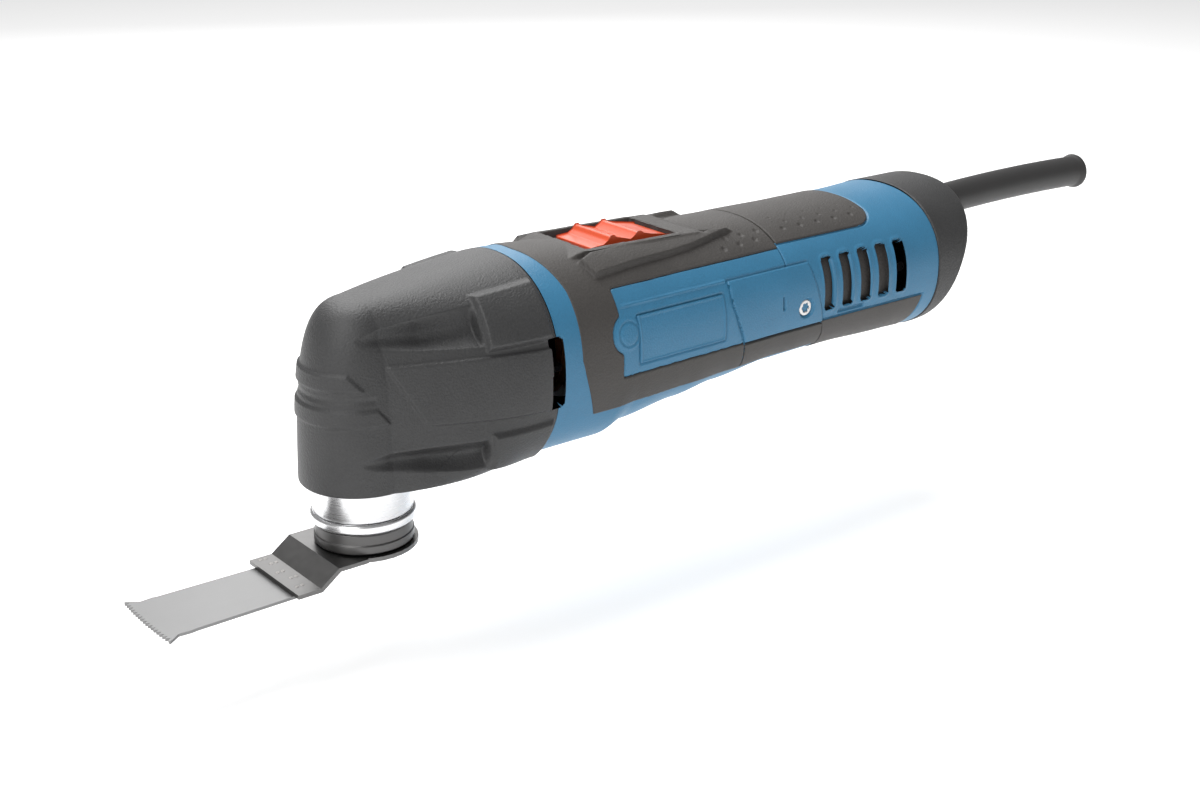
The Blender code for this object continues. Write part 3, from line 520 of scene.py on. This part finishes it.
# ---- Switch
# An orange-red slider moulded with two steep thumb ribs; it runs along a blue bed between the walls
# of the deck and pulls a rod to the switch at the back.
red = Finish("red_slider", Coat_Weight=0.12, Coat_Roughness=0.25)
red_grain = red.noise((1800.0, 1800.0, 1800.0), 2.0)
red.tint((0.50, 0.046, 0.008), (0.64, 0.074, 0.012), red_grain)
red.feed("Roughness", 0.34 + red_grain * 0.1)
red.relief(red_grain, 0.00005, 0.4)


def extruded(name, outline, axis, low, high, material, bevel, steps=3):
    """A flat outline in millimetres given thickness, with its edges rounded by `bevel`."""
    place = {"y": lambda p, q, t: (p, t, q), "z": lambda p, q, t: (p, q, t)}[axis]
    points = [place(p, q, t) for t in (low, high) for p, q in outline]
    n = len(outline)
    faces = [tuple(range(n)), tuple(range(2 * n - 1, n - 1, -1))]
    faces += [(k, (k + 1) % n, n + (k + 1) % n, n + k) for k in range(n)]
    mesh = bpy.data.meshes.new(name)
    mesh.from_pydata([tuple(c * MM for c in p) for p in points], [], faces)
    mesh.materials.append(material)
    piece = bpy.data.objects.new(name, mesh)
    bpy.context.collection.objects.link(piece)
    bevelled = piece.modifiers.new("edges", 'BEVEL')
    bevelled.width = bevel * MM
    bevelled.segments = steps
    bevelled.limit_method = 'ANGLE'
    bevelled.angle_limit = math.radians(20)
    bevelled.use_clamp_overlap = True
    mesh.shade_smooth()
    level = piece.modifiers.new("flats", 'WEIGHTED_NORMAL')
    level.keep_sharp = True
    return piece


def slider_outline(x0):
    """Side view: a low nose, two ribs that lean back, and a tail that runs out flat."""
    ribs = []
    for crest, top in ((8.2, 86.1), (19.6, 85.7)):
        ribs += [(x0 + crest - 3.6, 83.5), (x0 + crest - 1.6, 84.7), (x0 + crest - 0.6, top),
                 (x0 + crest + 0.5, top),
                 (x0 + crest + 1.6, top - 0.9), (x0 + crest + 5.0, top - 1.8)]
    return ([(x0, 79.7), (x0, 83.3)] + ribs + [(x0 + 29.5, 83.0), (x0 + 33, 82.4), (x0 + 33, 79.7)])


slider = extruded("switch_thumb_piece", slider_outline(84.9), "y", -9.8, 9.8, red.material, 0.45)
stands_for(slider, "switch_slider", "slider")

# ---- Brush springs
# Each carbon brush is pressed by a coil of spring steel that rests on the end of its brass holder. In the
# real tool the coil shortens as the brush is pushed back; here it keeps one length and rides the housing.
spring_steel = metal("spring_steel", (0.42, 0.42, 0.42), 0.34, (900.0, 900.0, 900.0))
wire, coil_radius, coils, coil_free, coil_seat, coil_travel = 0.36, 2.05, 4.5, 21.2, 27.8, 4.0
along, turn = np.linspace(0, 1, 200)[:, None], np.linspace(0, 2 * math.pi, 10, endpoint=False)[None, :]
thick = wire * np.minimum(1, 400 * np.minimum(along, 1 - along))
winding = 2 * math.pi * coils * along
brush_x, motor_z = 144.0, 54.5
for mirror, tag in ((-1, "left"), (1, "right")):
    out = coil_radius + thick * np.cos(turn)
    depth = coil_free + wire + (coil_seat - coil_free - 2 * wire) * along + thick * np.sin(turn)
    coil = surface("brush_coil_" + tag, np.stack([brush_x + out * np.cos(winding), mirror * depth,
                                                  motor_z + out * np.sin(winding)], -1), spring_steel,
                                                  None, True)
    stands_for(coil, "brush_spring_" + tag, "housing")
    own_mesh(coil)

# ---- Rear housing
# The back half of the blue shell, split from the front along the seam. Five upright slots let the
# cooling air in on each side, and recesses take the rubber pads.
vents = [170.5 + 9.0 * k for k in range(5)]
lower_pad = [(169.6, 47.2), (222.0, 47.2), (222.0, 31.5), (176.9, 31.5), (172.6, 41.0)]


def top_pad(x, deg):
    return rect(x, np.where(deg > 180, deg - 360, deg) * 0.55, 120.0, 204.2, -23.4, 23.4, 9.0)


def rear_height(x, y, z, deg):
    side = abs(y) > 16
    lift = np.full(x.shape, -0.25)
    lift -= 0.7 * groove(top_pad(x, deg), 0.5)
    under = np.minimum(field(x, z, cover_edge), field(x, z, lower_pad))
    lift -= 2.0 * np.maximum(rise(top_pad(x, deg) + 0.9, 0.3), rise(under + 0.9, 0.3) * side)
    lift -= 0.5 * groove(field(x, z, cover_edge), 0.45) * side
    lift -= 0.6 * groove(field(x, z, lower_pad), 0.45) * side
    lift -= 0.8 * rise(rect(x, z, 178.0, 191.0, 48.2, 49.9, 0.2), 0.3) * side
    for x0 in vents:
        slot = rect(x, z, x0, x0 + 5.2, 50.6, 69.6, 1.5)
        lift += 0.28 * rise(slot - 1.3, 1.0) * side
        lift -= 9.0 * rise(slot, 0.7) * side
    return lift


rear = body_tube("rear_housing_shell", seam + 0.15, 229.15, rear_height, blue, 0.38)
stands_for(rear, "rear_housing", "housing")


def pad_height(x, y, z, deg):
    lift = 0.06 - 2.2 * (1 - rise(top_pad(x, deg), 0.5))
    a = abs(np.where(deg > 180, deg - 360, deg)) * 0.55
    for cx in (162.9, 171.2, 179.6, 187.9, 196.2):
        for cy, r in ((16.4, 1.25), (12.6, 0.85), (8.8, 0.7)):
            lift -= 0.42 * rise(np.hypot(x - cx - (4.1 if cy == 12.6 else 0), a - cy) - r,
                                1.0) * (x < 203)
    return lift


pad = body_tube("rear_pad_rubber", seam + 0.3, 205.2, pad_height, rubber, 0.36)
stands_for(pad, "rear_top_pad", "housing")


def lower_outline(x, z):
    return field(x, z, lower_pad)


side_piece("lower_pad_", "rear_lower_pad_", 168.6, 223.0, 30.6, 48.2,
           side_height(lower_outline, 0.06), rubber)

# ---- End cap
# A black polyamide cap that closes the back. Its rear face leans back towards the top, its rim is
# generously rounded, and it is open for the cable sleeve and for the edge of the speed dial.
cap_x, cap_top, cap_low = 229.3, 256.0, 231.6
sleeve_z, dial_x, dial_z = 69.0, 235.8, 49.3
black = moulded("black_polyamide", (0.030, 0.030, 0.0305), 0.50, 1500.0, 0.00045, 0.55)

turn = np.arange(0, 360, 0.9)[None, :]
q = np.linspace(0, 1, 90)[:, None]
side_part = np.clip(q / 0.35, 0, 1)
bend = np.clip((q - 0.35) / 0.25, 0, 1) * math.pi / 2
inward = np.clip((q - 0.6) / 0.4, 0, 1)
depth = 5.4 * (1 - np.cos(bend)) + 0.1 * side_part
share = 0.80 * side_part + 0.20 * np.sin(bend)
rim = skin(cap_x, turn + 0 * q, depth + 0 * turn)
cap_centre = float(station(cap_x)[0])
cap_half = float(station(cap_x)[1])
rim[..., 1] *= 1 - inward
rim[..., 2] = cap_centre + (rim[..., 2] - cap_centre) * (1 - inward)
face = cap_low + (cap_top - cap_low) * (rim[..., 2] - cap_centre + cap_half) / (2 * cap_half)
start = cap_x + 0.15
dial_slot = rect(rim[..., 1], rim[..., 2], -3.0, 3.0, dial_z - 8.6, dial_z + 8.6, 1.0)
boot = np.hypot(rim[..., 1], rim[..., 2] - sleeve_z) - 6.4
on_face = q > 0.6
rim[..., 0] = start + share * (face - start)
rim[..., 0] -= 4.0 * (rise(dial_slot, 0.7) + rise(boot, 0.5)) * on_face
rim[..., 0] -= 0.5 * groove(boot - 2.2, 0.4) * on_face
rim = np.concatenate([rim[:1] * [1, 0.93, 1] + [[[0, 0, 0]]], rim])
cap = surface("end_cap_shell", rim, black, None, True)
stands_for(cap, "end_cap", "housing")

# ---- Speed dial and cable sleeve
# The dial is a black thumbwheel with a knurled rim, on a steel pin. The sleeve is a soft rubber tube,
# slightly bowed, whose open end is rolled into a lip.
def knurl(r, h, turn):
    return np.where(r > 8.3, r - 0.25 + 0.25 * np.cos(36 * turn), r)


dial_outline = rounded([(2.3, -2.6), (8.2, -2.6), (8.6, -2.1), (8.6, 2.1), (8.2, 2.6), (2.3, 2.6)], 0.2)
dial = lathe("dial_wheel", dial_outline, "y", (dial_x, 0, dial_z), black, 288, knurl)
stands_for(dial, "speed_dial", "dial")

sleeve_end, sleeve_bore = 346.0, 4.3
sleeve_rubber = moulded("sleeve_rubber", (0.028, 0.027, 0.027), 0.50, 1600.0, 0.00004)


def sleeve_centre(x):
    t = np.maximum(0, (x - 250.0) / (sleeve_end - 250.0))
    return sleeve_z + 5.2 * t * (1 - 0.92 * t)


outer = [(241.5, 7.0), (244.0, 7.0), (244.2, 6.2), (248.0, 6.1)] + [(252 + 3 * k, 6.1) for k in range(31)]
outer += [(343.6, 6.25), (344.2, 6.75), (345.2, 6.95), (345.8, 6.8), (346.0, 6.4), (346.0, 5.0),
          (345.6, 4.5)]
inner = [(344.0 - 3 * k, sleeve_bore) for k in range(34)] + [(241.5, sleeve_bore)]
x_r = np.array(outer + inner)
around = np.linspace(0, 2 * math.pi, 72, endpoint=False)[None, :]
tube = np.stack([x_r[:, :1] + 0 * around, x_r[:, 1:] * np.sin(around),
                 sleeve_centre(x_r[:, :1]) + x_r[:, 1:] * np.cos(around)], -1)
sleeve = surface("cable_sleeve_tube", tube, sleeve_rubber, None, True)
stands_for(sleeve, "cable_sleeve", "housing")

# ---- Head cover
# A glove of black polyamide over the die-cast gear head, slipped on from the front. Finger dishes run
# into raised blocks at the back of each side, a plain panel lies between, and belts wrap the nose.
nose, head_rear, crest_ease = 19.8, 53.0, 40.0


def head_top(x):
    return np.where(x < 10, 78.6 + 3.4 * (x + 20) / 30, 82.0 + 4.0 * np.clip((x - 10) / crest_ease, 0, 1))


def head_surface(u, s, inset):
    """u runs from the rear of the -Y side round the nose; s from the floor (-1) to the crest (1)."""
    arc = 0.34
    phi = np.clip((u - 0.5) / arc, -0.5, 0.5) * math.pi
    along = head_rear * np.maximum(0, (abs(u - 0.5) - arc / 2) / (0.5 - arc / 2))
    dx, dy = -np.cos(phi), np.sin(phi)
    t = np.clip(along / head_rear, 0, 1)
    ease = t * t * (3 - 2 * t)
    half = nose + (33.9 - nose) * (1 - (1 - t) ** 1.7) - inset
    mid, low = 24 + 28 * ease, 21.6 - 3.5 * ease + inset
    power, lower = 3.6 - 1.35 * ease, 7.0 - 4.7 * ease ** 0.6
    up = s >= 0
    squareness = np.where(up, power, lower)
    a = np.arctan(np.tan(np.minimum(abs(s), 0.99999) * math.pi / 2) ** (squareness / 2))
    spread = np.where(abs(s) >= 1, 0.0, np.cos(a) ** (2 / power))
    top = head_top(along + dx * nose * 0.5 * spread) - inset
    rise_up = np.sin(a) ** (2 / power)
    k = np.where(up, np.cos(a) ** (2 / power) * (1 - 0.10 * (1 - ease) * rise_up),
                 np.cos(a) ** (2 / lower))
    z = np.where(up, mid + (top - mid) * rise_up, mid - (mid - low) * np.sin(a) ** (2 / lower))
    k = np.where(abs(s) >= 1, 0.0, k)
    return np.stack([along + dx * half * k, dy * half * k, z], -1)


def dish(run, z, tip, end, middle, half, depth):
    """Depth of an almond-shaped finger dish: pointed in front, widest and deepest at its rear wall."""
    t = np.clip((run - tip) / (end - tip), 0, 1)
    across = (z - middle[0] - (middle[1] - middle[0]) * t) / (half * t ** 0.42 + 0.02)
    return depth * np.minimum(1, 2.0 * t) * np.clip(1 - across ** 2, 0, 1) ** 1.15 * rise(run - end, 1.5)


upper_block = [(29.6, 63.6), (29.6, 80.2), (52.4, 82.0), (52.4, 64.6)]
lower_block = [(29.2, 38.4), (52.4, 38.8), (52.4, 22.0), (29.2, 25.0)]
panel = [(0.1, 62.9), (60.0, 63.0), (60.0, 41.8), (10.3, 43.0)]
belts = [[(-60, 61.6), (-11.5, 61.4), (-6.5, 55.8), (-60, 55.8)],
         [(-60, 50.6), (-3.6, 50.4), (0.8, 44.6), (-60, 44.4)]]


def head_height(p, s):
    x, y, z = p[..., 0], p[..., 1], p[..., 2]
    round_nose = -nose * np.arcsin(np.clip(-x / nose, 0, 1))
    run = np.where(x >= 0, x, round_nose)
    side = rise(-(abs(y) - 2.0), 3.0)
    lift = 0 * x
    lift -= dish(run, z, -7.5, 29.8, (70.6, 71.6), 6.0, 4.4) * side
    lift -= dish(run, z, -10.0, 29.4, (33.2, 31.4), 5.0, 4.0) * side
    lift += 2.0 * rise(field(x, z, upper_block), 2.0) * side
    lift += 1.5 * rise(field(x, z, lower_block), 1.8) * side
    lift += 1.0 * rise(field(run, z, panel), 0.6) * side
    for belt in belts:
        lift += 0.8 * rise(field(run, z, belt), 0.6)
    lift -= 0.35 * groove(z - 53.2, 1.3) * (run < -4) * (s > -0.9)
    return lift


u, v = np.meshgrid(np.linspace(0, 1, 470), np.concatenate([np.linspace(-1, 0, 150)[:-1],
                                                         np.linspace(0, 1, 200)]), indexing="ij")
shape = head_surface(u, v, 0.0)
du, dv = np.gradient(shape, axis=0), np.gradient(shape, axis=1)
outward = np.cross(du, dv)
size = np.linalg.norm(outward, axis=-1, keepdims=True)
outward = np.where(size > 1e-9, outward / np.maximum(size, 1e-9), [0, 0, 1.0])
centre = np.array([18.0, 0.0, 50.0])
outward *= np.where(((shape - centre) * outward).sum(-1, keepdims=True) < 0, -1, 1)
shape = shape + outward * head_height(shape, v)[..., None]
lip = head_surface(u[:1], v[:1], 2.6)
lip_end = head_surface(u[-1:], v[-1:], 2.6)
shape = np.concatenate([lip, shape, lip_end])
neck_hole = 16.35
bottom = (shape[..., 2] < 30) & (np.hypot(shape[..., 0], shape[..., 1]) < neck_hole)
outlet_x, outlet_z, outlet_half = 50.2, 53.7, 11.6
outlet = (shape[..., 0] > outlet_x) & (abs(shape[..., 2] - outlet_z) < outlet_half)
head = surface("head_glove", shape, black, ~(bottom | outlet))
stands_for(head, "head_cover", "housing")

# ---- Neck and tool holder
# A turned steel ring seals the neck below the head, and the blackened tool holder turns beneath it.
ring = lathe("neck_band", rounded([(8.0, 8.3), (16.2, 8.3), (16.9, 9.0), (16.9, 11.1), (16.2, 11.8),
                                   (8.0, 11.8)], 0.3),
             "z", (0, 0, 0), turned_steel, 192)
stands_for(ring, "neck_ring", "housing")
neck = lathe("neck_tube", [(15.7, 12.05), (15.95, 12.05), (16.03, 12.2), (16.03, 26.0)], "z", (0, 0, 0),
             turned_steel, 192)
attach(neck, "housing")
blackened = metal("blackened_steel", (0.115, 0.113, 0.112), 0.38, (60.0, 60.0, 3600.0))
holder = lathe("holder_rim", rounded([(11.4, 1.3), (15.5, 1.2), (16.0, 1.7), (16.0, 4.2), (15.6, 4.5),
                                      (15.6, 7.6),
                                      (15.2, 8.0), (6.7, 8.0)], 0.2), "z", (0, 0, 0), blackened, 192)
stands_for(holder, "tool_holder", "oscillator")

# ---- Internal and small pieces that keep their CAD shape
# Ground blade, pressed carrier, die-cast gear head, motor and switch gear.
blade_steel = metal("ground_blade", (0.205, 0.205, 0.205), 0.40, (50.0, 2600.0, 50.0))
pressed = metal("pressed_carrier", (0.150, 0.148, 0.146), 0.36, (420.0, 420.0, 420.0), 0.00004)
cast = metal("die_casting", (0.62, 0.63, 0.64), 0.42, (800.0, 800.0, 800.0), 0.00006)
copper = metal("winding_copper", (0.66, 0.28, 0.13), 0.36, (3000.0, 60.0, 60.0), 0.00008)
brass = metal("drawn_brass", (0.72, 0.52, 0.22), 0.32, (60.0, 2200.0, 60.0))
stacked = metal("stacked_sheet", (0.32, 0.32, 0.33), 0.48, (2000.0, 20.0, 20.0), 0.00010)
carbon = moulded("pressed_carbon", (0.035, 0.035, 0.037), 0.70, 1200.0, 0.00005)
felt = moulded("wool_felt", (0.36, 0.33, 0.27), 0.95, 900.0, 0.00030, 0.3)
by_slot = {"blade_steel": blade_steel, "dark_steel": pressed, "bright_steel": screw_steel,
           "cast_alloy": cast,
           "copper": copper, "brass": brass, "lamination": stacked, "carbon": carbon, "felt": felt,
           "blue_plastic": blue, "black_plastic": black, "grip_rubber": rubber,
           "red_plastic": red.material}
for part in frame["record"]["subparts"]:
    node = frame["nodes"][part["node"]]
    node.data.materials.clear()
    node.data.materials.append(by_slot[part["material_slot"]])
for node_name, width in (("blade_carrier", 0.25), ("saw_blade", 0.08)):
    soften = frame["nodes"][node_name].modifiers.new("edges", 'BEVEL')
    soften.width = width * MM
    soften.segments = 2
    soften.limit_method = 'ANGLE'
    soften.angle_limit = math.radians(28)

# Five pairs of spot welds join the blade to the pressed carrier.
weld_steel = metal("weld_spot", (0.26, 0.25, 0.24), 0.42, (900.0, 900.0, 900.0))
for k, weld_y in enumerate((15.2 - 1.4, 9.4, 2.4, -3.4, -9.9)):
    for shift in (-0.9, 0.9):
        spot = lathe("spot_weld_%d_%s" % (k, "a" if shift < 0 else "b"),
                     [(0.01, -4.02), (0.30, -4.0), (0.62, -3.88), (0.72, -4.02)], "z",
                     (-29.4 + 1.5 * (k % 2) + shift, weld_y, 0), weld_steel, 20)
        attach(spot, "blade")
